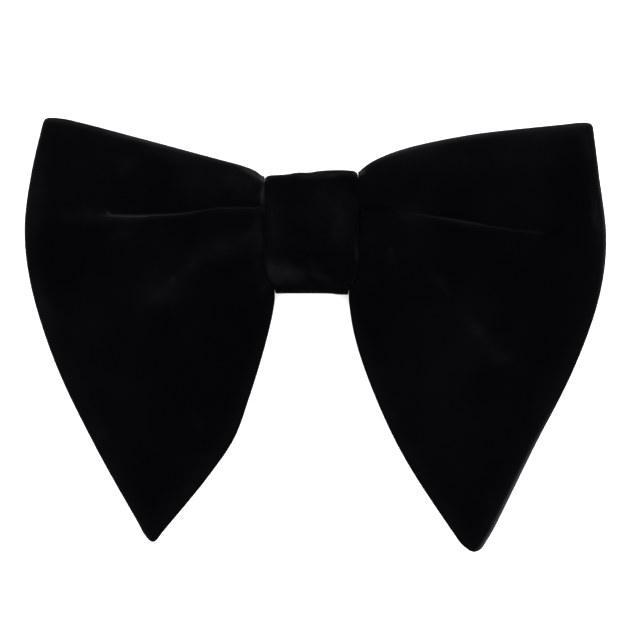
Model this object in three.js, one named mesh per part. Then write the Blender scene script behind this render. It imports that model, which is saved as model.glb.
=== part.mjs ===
// Oversized velvet bow tie, lying on its back. One doubled, pleated cloth makes both wings, a knot band
// pinches it at the waist, and a plain collar clip is held behind the waist, inside the band.
// Millimetres. +X runs across the wings, +Y towards the bow's top edge, +Z out of its front.
import * as THREE from "three";
import { mergeVertices } from "three/addons/utils/BufferGeometryUtils.js";

// Driving sizes of the bow's cloth
const CLOTH = 2.4; // two velvet layers and the interlining, pressed together
const WAIST = {
  x: -1.2, top: 40.9, bottom: 14.1,
  lowZ: 7.0, topEdgeZ: 12.4, innerEdgeZ: 10.2, // heights of the lowest layer and of the two edges
};
const REST_Z = CLOTH / 2; // the cloth's middle where it lies on the surface
const LIFTED_TOP_EDGE = 0.6; // the top edge's clearance at the hem

// Driving sizes of the pleat, whose upper roll laps over the lower wing and opens out towards the hem
const PLEAT = {
  layerPitch: 3.2, // from layer to layer where the pleat stacks three of them
  turn: 178, openTurn: 90, leastTurn: 1, // degrees that each of its two turns makes
  lap: 3.0, openLap: 0.6, // cloth between the two turns
  rollFill: 1.1, rollFullness: 0.85, // extra height of the upper roll, and how soon it rises
};
const TURN_LENGTH = (Math.PI * PLEAT.layerPitch) / 2;

// Shares of a wing, 0 at the waist and 1 at the hem, between which each thing changes
const SPANS = {
  comesDown: [0.3, 0.86], // the lowest layer, from the waist's height to the surface
  topEdgeFalls: [0.2, 0.92],
  innerEdgeFalls: [0.1, 0.7],
  pleatOpens: [0.1, 0.62], // its turns, from a flat fold to a step
  pleatFades: [0.52, 0.98], // the step, to nothing
  rollFills: [0.17, 0.3],
  rollEmpties: [0.15, 0.9],
  hemWaves: [0.35, 1],
};
const FOLDS_FADE_FROM = 0.1;

// Outlines of the two wings, seen from the front. Each row is a point [x, y] of a smooth edge: the top
// edge and the inner edge run from the waist outwards, and the hem runs from the top corner to the tip.
const WINGS = {
  left: {
    topEdge: [
      [WAIST.x, WAIST.top], [-13.9, 41.3], [-14.6, 43.0], [-17.3, 44.8], [-26.4, 47.7], [-46.5, 53.4],
      [-66.5, 58.9], [-72.0, 59.5], [-74.0, 59.2],
    ],
    hem: [
      [-74.0, 59.2], [-75.2, 56.2], [-78.2, 43.9], [-80.0, 29.5], [-78.6, 15.0], [-72.4, -5.6],
      [-60.8, -30.3], [-47.4, -53.8], [-44.7, -56.8],
    ],
    innerEdge: [
      [WAIST.x, WAIST.bottom], [-11.0, 14.1], [-11.35, 12.7], [-11.45, 9.0], [-13.5, -1.4], [-18.3, -17.9],
      [-22.3, -28.6], [-30.0, -39.8], [-42.0, -54.4], [-44.7, -56.8],
    ],
    // How far down the section the pleat's crease is, as rows of [reach, share of the section]
    crease: [
      [0, 0.22], [0.1, 0.21], [0.16, 0.165], [0.22, 0.192], [0.27, 0.206], [0.37, 0.207], [0.48, 0.222],
      [1, 0.218],
    ],
    // Soft folds below the pleat. waist and hem are places from the crease, 0, to the inner edge, 1.
    folds: [
      { waist: 0.42, hem: 0.45, rise: 2.6, spread: 0.3, until: 0.85 },
      { waist: 0.24, hem: 0.34, rise: 3.2, spread: 0.13, until: 0.9 },
      { waist: 0.95, hem: 0.8, rise: 1.2, spread: 0.16, until: 0.8 },
    ],
    // Waves of the hem, at places from the top corner, 0, to the tip, 1
    hemWaves: [
      { at: 0.0, rise: 1.6, spread: 0.2 },
      { at: 0.62, rise: 1.3, spread: 0.12 },
      { at: 1.0, rise: 0.9, spread: 0.1 },
    ],
  },
  right: {
    topEdge: [
      [WAIST.x, WAIST.top], [11.7, 42.3], [12.7, 45.0], [15.6, 47.4], [23.6, 50.5], [42.4, 54.7],
      [68.8, 57.9], [73.4, 58.2], [75.2, 57.9],
    ],
    hem: [
      [75.2, 57.9], [76.3, 55.4], [78.0, 43.9], [80.0, 26.0], [78.2, 10.9], [70.9, -9.7],
      [60.5, -30.3], [48.3, -54.2], [46.2, -57.6], [43.7, -59.5],
    ],
    innerEdge: [
      [WAIST.x, WAIST.bottom], [8.8, 14.1], [9.25, 12.7], [9.35, 9.0], [11.0, -1.4], [16.7, -17.9],
      [24.7, -34.4], [38.6, -55.4], [41.0, -58.3], [43.7, -59.5],
    ],
    crease: [
      [0, 0.22], [0.1, 0.21], [0.16, 0.195], [0.215, 0.228], [0.27, 0.248], [0.36, 0.261], [0.65, 0.267],
      [1, 0.25],
    ],
    folds: [
      { waist: 0.42, hem: 0.5, rise: 2.6, spread: 0.3, until: 0.85 },
      { waist: 0.3, hem: 0.56, rise: 3.2, spread: 0.12, until: 0.95 },
      { waist: 0.95, hem: 0.85, rise: 1.2, spread: 0.16, until: 0.7 },
    ],
    hemWaves: [
      { at: 0.05, rise: 1.2, spread: 0.2 },
      { at: 0.5, rise: 1.5, spread: 0.12 },
      { at: 1.0, rise: 0.6, spread: 0.1 },
    ],
  },
};

// Driving sizes of the knot band
const BAND = {
  x: -1.1, y: 28.05, z: 9.8, // the loop's middle
  halfHeight: 16.2, halfDepth: 7.5, // to its outside, apart from its crown
  halfWidthTop: 12.75, halfWidthFoot: 9.95, narrowsFrom: 20.5, narrowsTo: 12.0,
  wall: 1.8, slant: 0.055, squareness: 5,
  crownFront: 1.1, crownElsewhere: 0.4,
};
// The arched crease across the band's foot, where the cloth curls under
const FOOT_CREASE = { x: -2.0, y: 14.9, rise: 3.4, halfSpan: 9.0, depth: 0.55, spread: 1.1 };

// Driving sizes of the clip, one folded strip of spring steel
const CLIP = { metal: 0.8, height: 9, y: 28.05, bendAt: 22, tongueTip: 8, plateBottom: 4.6 };

// Where the cloth's grid has its lines
const REACHES = [
  0, 0.05, 0.09, 0.11, 0.125, 0.14, 0.155, 0.17, 0.19, 0.215, 0.245, 0.28, 0.32, 0.365, 0.41, 0.46, 0.51,
  0.565, 0.62, 0.675, 0.73, 0.785, 0.84, 0.89, 0.935, 0.97, 0.99, 1,
];
const STRETCH_SHARES = {
  roll: [0, 0.03, 0.1, 0.25, 0.45, 0.65, 0.85],
  lip: [0, 0.25, 0.5, 0.75],
  lap: [0, 0.5],
  tuck: [0, 0.25, 0.5, 0.75],
  lower: [0, 0.06, 0.14, 0.23, 0.32, 0.41, 0.5, 0.59, 0.68, 0.77, 0.86, 0.94, 0.985, 1],
};

const TABLE_STEPS = 400; // straight steps that a smooth table is read from

const mix = THREE.MathUtils.lerp;
const change = ([from, to], value) => THREE.MathUtils.smoothstep(value, from, to);
const bell = (distance, spread) => Math.exp(-((distance / spread) ** 2));

// A smooth curve through rows of [x, y], read by its share of the length.
function edgeCurve(rows) {
  return new THREE.CatmullRomCurve3(rows.map(([x, y]) => new THREE.Vector3(x, y, 0)), false, "centripetal");
}

// A smooth function through rows of [place, value], read at a place.
function smoothTable(rows) {
  const line = edgeCurve(rows).getPoints(TABLE_STEPS);
  return (place) => {
    const next = Math.max(line.findIndex((point) => point.x >= place), 1);
    const [from, to] = [line[next - 1], line[next]];
    return mix(from.y, to.y, (place - from.x) / (to.x - from.x));
  };
}

// The flat wing, by reach from the waist, 0, to the hem, 1, and down from the top edge, 0, to the inner
// edge, 1: a straight line across the wing, bowed outwards by reach times the hem's own bow.
function flatWing({ topEdge, hem, innerEdge }) {
  const [top, outer, inner] = [topEdge, hem, innerEdge].map(edgeCurve);
  const [corner, tip] = [outer.getPointAt(0), outer.getPointAt(1)];
  return (reach, down) => {
    const hemBow = outer.getPointAt(down).sub(corner.clone().lerp(tip, down));
    return top.getPointAt(reach).lerp(inner.getPointAt(reach), down).addScaledVector(hemBow, reach);
  };
}

// The pleat at one section: from the end of the roll the cloth turns back under itself, runs up again for
// the lap, and turns forward. fall is how far back from the front the three together carry it.
function pleatAt(reach, creaseDown) {
  const opening = change(SPANS.pleatOpens, reach);
  const degrees = mix(PLEAT.turn, PLEAT.openTurn, opening) * (1 - change(SPANS.pleatFades, reach));
  const turn = THREE.MathUtils.degToRad(Math.max(degrees, PLEAT.leastTurn));
  const radius = TURN_LENGTH / turn;
  const rollDown = creaseDown - radius * Math.sin(Math.min(turn, Math.PI / 2));
  const insideTopEdge = rollDown - radius - CLOTH * 0.6;
  const lap = mix(Math.min(PLEAT.lap, insideTopEdge), PLEAT.openLap, opening);
  const fall = 2 * radius * (1 - Math.cos(turn)) + lap * Math.sin(turn);
  return { turn, radius, lap, fall, rollDown };
}

// One section of a wing, as points down it. Each stretch gives how far down the flat section it has come,
// and its height: the upper roll, the pleat's lip, lap and tuck, and the lower wing.
function wingSection(wing, flat, creaseShare, reach) {
  const steps = Array.from({ length: 17 }, (_, i) => flat(reach, i / 16));
  const length = steps.slice(1).reduce((sum, point, i) => sum + point.distanceTo(steps[i]), 0);
  const { turn, radius, lap, fall, rollDown } = pleatAt(reach, creaseShare(reach) * length);

  const tuckZ = mix(WAIST.lowZ, REST_Z, change(SPANS.comesDown, reach));
  const topZ = mix(WAIST.topEdgeZ, REST_Z + LIFTED_TOP_EDGE, change(SPANS.topEdgeFalls, reach));
  const innerZ = mix(WAIST.innerEdgeZ, REST_Z, change(SPANS.innerEdgeFalls, reach));
  const rollFill = PLEAT.rollFill * change(SPANS.rollFills, reach) * (1 - change(SPANS.rollEmpties, reach));
  const lipZ = tuckZ + fall;
  const lapDown = rollDown + radius * Math.sin(turn);
  const lapZ = lipZ - radius * (1 - Math.cos(turn));
  const tuckDown = lapDown + lap * Math.cos(turn);
  const lowerDown = tuckDown + radius * Math.sin(turn);

  const foldsAt = (share) =>
    wing.folds.reduce((sum, fold) => {
      const fading = 1 - change([FOLDS_FADE_FROM, fold.until], reach);
      return sum + fold.rise * fading * bell(share - mix(fold.waist, fold.hem, reach), fold.spread);
    }, 0);
  const stretches = {
    roll: (share) => [
      rollDown * share,
      mix(topZ, lipZ, Math.sin((Math.PI / 2) * share) ** PLEAT.rollFullness) +
        rollFill * Math.sin(Math.PI * share) ** 2,
    ],
    lip: (share) => [
      rollDown + radius * Math.sin(turn * share),
      lipZ - radius * (1 - Math.cos(turn * share)),
    ],
    lap: (share) => [mix(lapDown, tuckDown, share), lapZ - lap * Math.sin(turn) * share],
    tuck: (share) => [
      lowerDown - radius * Math.sin(turn * (1 - share)),
      tuckZ + radius * (1 - Math.cos(turn * (1 - share))),
    ],
    lower: (share) => {
      const clearOfLip = change([0.08, 0.4], share);
      const calmEdge = 1 - 0.75 * change([0.7, 1], share);
      return [
        mix(lowerDown, length, share),
        mix(tuckZ, innerZ, change([0, 1], share)) + foldsAt(share) * clearOfLip * calmEdge,
      ];
    },
  };

  const hemRise = change(SPANS.hemWaves, reach);
  const waveAt = (down) =>
    hemRise * wing.hemWaves.reduce((sum, { at, rise, spread }) => sum + rise * bell(down - at, spread), 0);
  return Object.entries(STRETCH_SHARES).flatMap(([stretch, shares]) =>
    shares.map((share) => {
      const [distance, height] = stretches[stretch](share);
      const down = distance / length;
      return flat(reach, down).setZ(height + waveAt(down));
    }),
  );
}

// A closed cloth wall round a grid of middle points. The front and the back share the outline's vertices,
// and the half thickness grows inwards from it along a quarter circle.
function clothWall(middle, thickness) {
  const [columns, rows] = [middle.length, middle[0].length];
  const half = thickness / 2;
  const pointAt = (i, j) =>
    middle[THREE.MathUtils.clamp(i, 0, columns - 1)][THREE.MathUtils.clamp(j, 0, rows - 1)];
  const normalAt = (i, j) => {
    const along = pointAt(i + 1, j).clone().sub(pointAt(i - 1, j));
    const down = pointAt(i, j + 1).clone().sub(pointAt(i, j - 1));
    return down.cross(along).normalize();
  };
  const halfAt = (i, j) => {
    const outline = [pointAt(0, j), pointAt(columns - 1, j), pointAt(i, 0), pointAt(i, rows - 1)];
    const inwards = Math.min(...outline.map((point) => point.distanceTo(pointAt(i, j)))) / half;
    return half * Math.sqrt(1 - (1 - Math.min(inwards, 1)) ** 2);
  };

  const vertices = [];
  const addVertex = (point) => {
    vertices.push(point.x, point.y, point.z);
    return vertices.length / 3 - 1;
  };
  const [front, back] = [middle.map(() => []), middle.map(() => [])];
  for (let i = 0; i < columns; i++)
    for (let j = 0; j < rows; j++) {
      const offset = normalAt(i, j).multiplyScalar(halfAt(i, j));
      front[i][j] = addVertex(pointAt(i, j).clone().add(offset));
      back[i][j] = offset.length() === 0 ? front[i][j] : addVertex(pointAt(i, j).clone().sub(offset));
    }

  const faces = [];
  const addQuad = (grid, i, j, facesBack) => {
    const [a, b, c, d] = [grid[i][j], grid[i + 1][j], grid[i + 1][j + 1], grid[i][j + 1]];
    const splitAtA = i < columns / 2 - 1 === j < rows / 2 - 1; // so that no corner is cut off flat
    const triangles = splitAtA ? [[a, c, b], [a, d, c]] : [[a, d, b], [b, d, c]];
    triangles.forEach((triangle) => faces.push(...(facesBack ? triangle.reverse() : triangle)));
  };
  for (let i = 0; i < columns - 1; i++)
    for (let j = 0; j < rows - 1; j++) {
      addQuad(front, i, j, false);
      addQuad(back, i, j, true);
    }
  return geometryOf(vertices, faces);
}

function geometryOf(vertices, faces) {
  const geometry = new THREE.BufferGeometry();
  geometry.setAttribute("position", new THREE.Float32BufferAttribute(vertices, 3));
  geometry.setIndex(faces);
  geometry.computeVertexNormals();
  return geometry;
}

// The bow: both wings and the waist between them, one cloth.
function bowGeometry() {
  const sections = ({ wing, reaches }) => {
    const [flat, creaseShare] = [flatWing(wing), smoothTable(wing.crease)];
    return reaches.map((reach) => wingSection(wing, flat, creaseShare, reach));
  };
  const middle = [
    ...sections({ wing: WINGS.left, reaches: REACHES.slice(1).reverse() }),
    ...sections({ wing: WINGS.right, reaches: REACHES }),
  ];
  return clothWall(middle, CLOTH);
}

// A point of the knot band: its loop is a squared oval in the YZ plane whose top slants up towards +X.
// inset goes in through the wall, and puff is how far the cloth bulges between its two folded edges.
function bandPoint(angle, x, inset, puff) {
  const squared = (value) => Math.sign(value) * Math.abs(value) ** (2 / BAND.squareness);
  const up = squared(Math.sin(angle));
  const out = squared(Math.cos(angle));
  const slant = BAND.slant * (x - BAND.x) * change([-0.2, 1], up);
  const y = BAND.y + (BAND.halfHeight - inset + BAND.crownElsewhere * puff) * up + slant;
  const creaseY = FOOT_CREASE.y - FOOT_CREASE.rise * ((x - FOOT_CREASE.x) / FOOT_CREASE.halfSpan) ** 2;
  const creaseDepth = FOOT_CREASE.depth * change([0.5, 1], out) * bell(y - creaseY, FOOT_CREASE.spread);
  const crown = mix(BAND.crownElsewhere, BAND.crownFront, change([0, 0.9], out));
  const depth = BAND.halfDepth - inset + (crown - creaseDepth) * puff;
  return new THREE.Vector3(x, y, BAND.z + depth * out);
}

// The knot band: a wall with rounded edges carried round its loop, narrowing towards its foot.
function bandGeometry() {
  const turns = 64;
  const outside = [-0.98, -0.85, -0.6, -0.3, 0, 0.3, 0.6, 0.85, 0.98];
  const inside = [0.97, 0.5, 0, -0.5, -0.97];
  const wallSection = [
    ...outside.map((share) => ({ share, inset: 0, puff: 1 - share ** 2 })),
    { share: 1, inset: BAND.wall / 2, puff: 0 },
    ...inside.map((share) => ({ share, inset: BAND.wall, puff: 0 })),
    { share: -1, inset: BAND.wall / 2, puff: 0 },
  ];
  const vertices = [];
  const faces = [];
  const index = (turn, place) => (turn % turns) * wallSection.length + (place % wallSection.length);
  for (let turn = 0; turn < turns; turn++) {
    const angle = (2 * Math.PI * turn) / turns;
    const { y } = bandPoint(angle, BAND.x, 0, 0);
    const widening = change([BAND.narrowsTo, BAND.narrowsFrom], y);
    const halfWidth = mix(BAND.halfWidthFoot, BAND.halfWidthTop, widening);
    wallSection.forEach(({ share, inset, puff }, place) => {
      vertices.push(...bandPoint(angle, BAND.x + halfWidth * share, inset, puff));
      const [a, b, c, d] = [
        index(turn, place), index(turn + 1, place), index(turn + 1, place + 1), index(turn, place + 1),
      ];
      faces.push(a, c, b, a, d, c);
    });
  }
  return geometryOf(vertices, faces);
}

// The clip: a flat plate through the band, folded back at both ends into a tongue that grips a collar leaf.
// Its profile is drawn across the wings and upwards, then carried along the strip's height.
function clipGeometry() {
  const plateTop = CLIP.plateBottom + CLIP.metal;
  const bend = { z: plateTop / 2, outer: plateTop / 2, inner: plateTop / 2 - CLIP.metal };
  const [down, up] = [-Math.PI / 2, Math.PI / 2];
  const profile = new THREE.Shape();
  profile.moveTo(-CLIP.tongueTip, 0);
  profile.lineTo(-CLIP.tongueTip, CLIP.metal);
  profile.absarc(-CLIP.bendAt, bend.z, bend.inner, down, up, true);
  profile.absarc(CLIP.bendAt, bend.z, bend.inner, up, down, true);
  profile.lineTo(CLIP.tongueTip, CLIP.metal);
  profile.lineTo(CLIP.tongueTip, 0);
  profile.absarc(CLIP.bendAt, bend.z, bend.outer, down, up, false);
  profile.absarc(-CLIP.bendAt, bend.z, bend.outer, up, 3 * up, false);
  const strip = new THREE.ExtrudeGeometry(profile, {
    depth: CLIP.height,
    bevelEnabled: false,
    curveSegments: 10,
  });
  strip.deleteAttribute("normal");
  strip.deleteAttribute("uv");
  return mergeVertices(strip, 1e-4);
}

function namedMesh(name, geometry, material) {
  const mesh = new THREE.Mesh(geometry, material);
  mesh.name = name;
  return mesh;
}

const velvet = new THREE.MeshStandardMaterial({ color: 0x08080a, roughness: 0.95, metalness: 0 });
const knotVelvet = new THREE.MeshStandardMaterial({ color: 0x09090b, roughness: 0.93, metalness: 0 });
const steel = new THREE.MeshStandardMaterial({ color: 0xb4b6ba, roughness: 0.35, metalness: 1 });

const bowTie = new THREE.Group();
bowTie.name = "bow_tie";
bowTie.add(namedMesh("bow", bowGeometry(), velvet));
bowTie.add(namedMesh("knot_band", bandGeometry(), knotVelvet));

const clip = namedMesh("collar_clip", clipGeometry(), steel);
clip.rotation.x = Math.PI / 2; // stands the profile up, and lays the strip's height down along Y
clip.position.set(BAND.x, CLIP.y + CLIP.height / 2, 0);
bowTie.add(clip);

export default bowTie;
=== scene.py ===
# Oversized black velvet bow tie, lying on its back under soft studio light and seen from straight above
import bpy
import numpy as np
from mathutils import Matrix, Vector


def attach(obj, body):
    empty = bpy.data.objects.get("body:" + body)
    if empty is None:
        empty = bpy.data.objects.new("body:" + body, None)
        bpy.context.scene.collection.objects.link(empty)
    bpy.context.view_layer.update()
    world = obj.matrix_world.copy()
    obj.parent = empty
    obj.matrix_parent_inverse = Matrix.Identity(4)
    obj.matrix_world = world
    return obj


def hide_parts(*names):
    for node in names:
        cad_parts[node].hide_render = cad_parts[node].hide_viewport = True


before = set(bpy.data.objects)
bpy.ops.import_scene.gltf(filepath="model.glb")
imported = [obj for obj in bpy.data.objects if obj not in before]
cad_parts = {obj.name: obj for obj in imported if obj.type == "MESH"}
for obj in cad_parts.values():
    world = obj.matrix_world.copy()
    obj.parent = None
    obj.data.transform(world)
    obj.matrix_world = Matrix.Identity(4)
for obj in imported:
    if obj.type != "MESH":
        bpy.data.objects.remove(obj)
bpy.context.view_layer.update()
mm = 0.001


# Small formulas that every piece uses

def mix(low, high, share):
    # Straight from low at share 0 to high at share 1
    return low + (high - low) * share


def change(span, value):
    # An S-curve, 3t^2 - 2t^3, from 0 at the span's start to 1 at its end
    t = np.clip((value - span[0]) / (span[1] - span[0]), 0, 1)
    return t * t * (3 - 2 * t)


def bell(distance, spread):
    # 1 at no distance, and falling off as e to the power -(distance / spread)^2
    return np.exp(-((distance / spread) ** 2))


def crumple(u, v, wavelength, seed, waves=14):
    # Random but repeatable hills and hollows of about one unit: a sum of plane waves whose directions and
    # phases are drawn from the seed, and whose lengths are 0.7 to 1.5 times the wavelength
    draw = np.random.default_rng(seed)
    heading, phase = draw.uniform(0, 2 * np.pi, (2, waves))
    pitch = 2 * np.pi / (wavelength * draw.uniform(0.7, 1.5, waves))
    total = sum(np.sin(p * (u * np.cos(h) + v * np.sin(h)) + f) for h, f, p in zip(heading, phase, pitch))
    return total * np.sqrt(2 / waves)


def edgeCurve(rows):
    # A smooth curve through the rows' points. Each stretch is a cubic whose end slopes are weighted by the
    # square roots of the point spacings. It is read by its share of the length.
    points = np.array(rows, float)
    points = np.vstack([2 * points[0] - points[1], points, 2 * points[-1] - points[-2]])
    p0, p1, p2, p3 = points[:-3], points[1:-2], points[2:-1], points[3:]
    d0, d1, d2 = (np.sqrt(np.linalg.norm(b - a, axis=1))[:, None] for a, b in ((p0, p1), (p1, p2), (p2, p3)))
    start = ((p1 - p0) / d0 - (p2 - p0) / (d0 + d1) + (p2 - p1) / d1) * d1
    end = ((p2 - p1) / d1 - (p3 - p1) / (d1 + d2) + (p3 - p2) / d2) * d1
    t = np.linspace(0, 1, 200, endpoint=False)[:, None, None]
    cubic = p1 + start * t + (3 * (p2 - p1) - 2 * start - end) * t**2 + (2 * (p1 - p2) + start + end) * t**3
    line = np.vstack([cubic.transpose(1, 0, 2).reshape(-1, 2), points[-2:-1]])
    share = np.r_[0, np.cumsum(np.linalg.norm(np.diff(line, axis=0), axis=1))]
    share /= share[-1]
    return lambda where: np.stack([np.interp(where, share, line[:, k]) for k in (0, 1)], -1)


def smoothTable(rows, place):
    # The same smooth curve through rows of place and value, read at the places
    curve = edgeCurve(rows)(np.linspace(0, 1, 400))
    return np.interp(place, curve[:, 0], curve[:, 1])


def straightTable(rows, place):
    # Straight lines through rows of place and value, read at the places
    return np.interp(place, *np.transpose(rows))


def unit(vectors):
    # Each vector divided by its length
    return vectors / np.maximum(np.linalg.norm(vectors, axis=-1, keepdims=True), 1e-9)


def gridNormals(points):
    # At each grid point, the cross product of the central differences down the rows and along the columns
    return unit(np.cross(np.gradient(points, axis=1), np.gradient(points, axis=0)))


def gridQuads(index, flipped=False):
    # One quad for each cell of a grid of vertex numbers
    a, b, c, d = index[:-1, :-1], index[1:, :-1], index[1:, 1:], index[:-1, 1:]
    return np.stack([a, b, c, d] if flipped else [a, d, c, b], -1).reshape(-1, 4)


def endQuads(ring):
    # Closes a tube's end: quads between the opposite rows of a ring of an even number of vertices
    k = np.arange(len(ring) // 2 - 1)
    return np.stack([ring[k], ring[k + 1], ring[-k - 2], ring[-k - 1]], -1)


def pressedPatches(points, patches, seed):
    # The sum of soft ovals, each a bell over its length and width, all wavering by about 0.3 mm
    x, y = points[:, 0], points[:, 1]
    waver, wavelength = 0.3, 6
    x, y = x + waver * crumple(x, y, wavelength, seed), y + waver * crumple(x, y, wavelength, seed + 1)
    total = 0
    for atX, atY, length, width, turn, strength in patches:
        cos, sin = np.cos(np.radians(turn)), np.sin(np.radians(turn))
        along, across = (x - atX) * cos + (y - atY) * sin, (y - atY) * cos - (x - atX) * sin
        total = total + strength * bell(along, length) * bell(across, width)
    return total


def setPressedAndSheen(piece, values):
    attribute = piece.data.attributes.new("pressed", "FLOAT", "POINT")
    attribute.data.foreach_set("value", values.astype(np.float32))


def addPiece(name, points, quads, material, node):
    # points are in millimetres. The piece rides on the one body and takes its finish from the slot.
    mesh = bpy.data.meshes.new(name)
    mesh.from_pydata((points.reshape(-1, 3) * mm).tolist(), [], quads.tolist())
    mesh.validate()
    mesh.polygons.foreach_set("use_smooth", np.ones(len(mesh.polygons), bool))
    mesh.materials.append(material)
    piece = bpy.data.objects.new(name, mesh)
    bpy.context.scene.collection.objects.link(piece)
    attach(piece, "root")
    if node:
        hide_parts(node)
    print(f"{name}: {len(mesh.vertices)} vertices")
    return piece


# Materials

def setSocket(tree, socket, value):
    # Links another node's output, or sets a plain value
    if isinstance(value, bpy.types.NodeSocket):
        tree.links.new(value, socket)
    else:
        socket.default_value = value


def addNode(tree, kind, settings=None, **inputs):
    node = tree.nodes.new(kind)
    for key, value in (settings or {}).items():
        setattr(node, key, value)
    for key, value in inputs.items():
        setSocket(tree, node.inputs[key.replace("_", " ")], value)
    return node


def mathNode(tree, operation, *values):
    node = addNode(tree, "ShaderNodeMath", {"operation": operation})
    for socket, value in zip(node.inputs, values):
        setSocket(tree, socket, value)
    return node.outputs[0]


def ramp(tree, value, low, high, dark, light):
    # Goes from dark to light as the value goes from low to high
    node = addNode(tree, "ShaderNodeValToRGB", Fac=value)
    ends = node.color_ramp.elements
    ends[0].position, ends[1].position = low, high
    ends[0].color, ends[1].color = (*dark, 1), (*light, 1)
    return node.outputs["Color"]


def relief(tree, height, strength, depth, **under):
    # A bump of that depth in mm, on top of the normal given as under
    node = addNode(tree, "ShaderNodeBump", Height=height, Strength=strength, Distance=depth * mm, **under)
    return node.outputs["Normal"]


def newMaterial(name):
    material = bpy.data.materials.new(name)
    material.use_nodes = True
    tree = material.node_tree
    return material, tree, tree.nodes["Principled BSDF"]


velvetLook = {
    "standing": (0.00020, 0.00024, 0.00036),  # colour where the pile stands up
    "pressed": (0.0150, 0.0156, 0.0173),  # and at full strength: pile worn right down, and painted highlight
    # Broad patches where the pile leans, crush marks, and the pile's grain: size in mm, detail, roughness
    "nap": (26, 3.0, 0.55), "crush": (5, 4.0, 0.65), "pile": (0.35, 2.0, 0.7),
    "napSpan": (0.4, 0.75), "napShare": 0.022, "crushShare": 0.5,
    "roughness": {"standing": 0.95, "pressed": 0.72},
    "sheen": 0.038, "sheenRoughness": 0.2, "sheenTint": (0.87, 0.94, 1.0), "specular": 0.009,
    "crushRelief": (0.6, 0.15), "pileRelief": (0.8, 0.08),  # strength, and depth in mm
}
knotLook = {**velvetLook, "nap": (12, 3.0, 0.55), "crush": (3.5, 4.0, 0.65), "sheen": 0.012}


def velvetMaterial(name, look, shift):
    # Black cut-pile velvet. The piece's own attribute holds how far the pile is pressed together with painted
    # highlights where creases, edges and ridges catch the light. Small crush marks break it up, and broad
    # faint patches where the pile leans add to it. It turns standing colour into the lighter colour of
    # pressed pile and painted highlight, and makes it a little smoother. Crush marks and the pile's grain
    # give the relief.
    material, tree, shader = newMaterial(name)
    place = addNode(tree, "ShaderNodeTexCoord").outputs["Object"]
    place = addNode(tree, "ShaderNodeMapping", Vector=place, Location=shift).outputs["Vector"]
    noise = {}
    for layer in ("nap", "crush", "pile"):
        size, detail, roughness = look[layer]
        noise[layer] = addNode(tree, "ShaderNodeTexNoise", Vector=place, Scale=1 / (size * mm), Detail=detail,
                               Roughness=roughness).outputs["Fac"]
    markedPressedAndSheen = addNode(tree, "ShaderNodeAttribute", {"attribute_name": "pressed"}).outputs["Fac"]
    uneven = mathNode(tree, "MULTIPLY_ADD", noise["crush"], 2 * look["crushShare"], 1 - look["crushShare"])
    low, high = look["napSpan"]
    leaning = addNode(tree, "ShaderNodeMapRange", Value=noise["nap"], From_Min=low, From_Max=high,
                      To_Max=look["napShare"]).outputs["Result"]
    pressed = mathNode(tree, "MULTIPLY", mathNode(tree, "ADD", markedPressedAndSheen, leaning), uneven)
    shade = ramp(tree, pressed, 0.0, 1.0, look["standing"], look["pressed"])
    setSocket(tree, shader.inputs["Base Color"], shade)
    rough = addNode(tree, "ShaderNodeMapRange", Value=pressed, To_Min=look["roughness"]["standing"],
                    To_Max=look["roughness"]["pressed"])
    setSocket(tree, shader.inputs["Roughness"], rough.outputs["Result"])
    crushed = relief(tree, noise["crush"], *look["crushRelief"])
    setSocket(tree, shader.inputs["Normal"], relief(tree, noise["pile"], *look["pileRelief"], Normal=crushed))
    shader.inputs["Specular IOR Level"].default_value = look["specular"]
    shader.inputs["Sheen Weight"].default_value = look["sheen"]
    shader.inputs["Sheen Roughness"].default_value = look["sheenRoughness"]
    shader.inputs["Sheen Tint"].default_value = (*look["sheenTint"], 1)
    return material


steelLook = {
    "scratches": (60, 4000, 4000),  # how often along the strip and across it, to the metre
    "smears": 220.0, "smearSpan": (0.3, 0.7),
    "dark": (0.52, 0.52, 0.54), "light": (0.64, 0.64, 0.66),
    "roughness": (0.22, 0.42), "relief": (0.3, 0.01),
}


def steelMaterial(name, look):
    # Satin spring steel: fine scratches along the strip, slightly uneven gloss
    material, tree, shader = newMaterial(name)
    place = addNode(tree, "ShaderNodeTexCoord").outputs["Object"]
    drawn = addNode(tree, "ShaderNodeMapping", Vector=place, Scale=look["scratches"]).outputs["Vector"]
    scratches = addNode(tree, "ShaderNodeTexNoise", Vector=drawn, Scale=1.0, Detail=3.0).outputs["Fac"]
    smears = addNode(tree, "ShaderNodeTexNoise", Vector=place, Scale=look["smears"],
                     Detail=2.0).outputs["Fac"]
    shade = ramp(tree, smears, *look["smearSpan"], look["dark"], look["light"])
    setSocket(tree, shader.inputs["Base Color"], shade)
    low, high = look["roughness"]
    rough = addNode(tree, "ShaderNodeMapRange", Value=scratches, To_Min=low, To_Max=high)
    setSocket(tree, shader.inputs["Roughness"], rough.outputs["Result"])
    setSocket(tree, shader.inputs["Normal"], relief(tree, scratches, *look["relief"]))
    shader.inputs["Metallic"].default_value = 1.0
    return material


threadLook = {
    "twist": 1500.0, "unevenness": 0.5, "twistSpan": (0.2, 0.8),
    "dark": (0.004, 0.004, 0.005), "light": (0.014, 0.014, 0.016),
    "roughness": 0.55, "relief": (0.5, 0.05),
}


def threadMaterial(name, look):
    # Twisted black sewing thread, a little glossier than the pile
    material, tree, shader = newMaterial(name)
    place = addNode(tree, "ShaderNodeTexCoord").outputs["Object"]
    twist = addNode(tree, "ShaderNodeTexWave", {"bands_direction": "DIAGONAL"}, Vector=place,
                    Scale=look["twist"], Distortion=look["unevenness"]).outputs["Fac"]
    shade = ramp(tree, twist, *look["twistSpan"], look["dark"], look["light"])
    setSocket(tree, shader.inputs["Base Color"], shade)
    setSocket(tree, shader.inputs["Normal"], relief(tree, twist, *look["relief"]))
    shader.inputs["Roughness"].default_value = look["roughness"]
    return material


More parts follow.
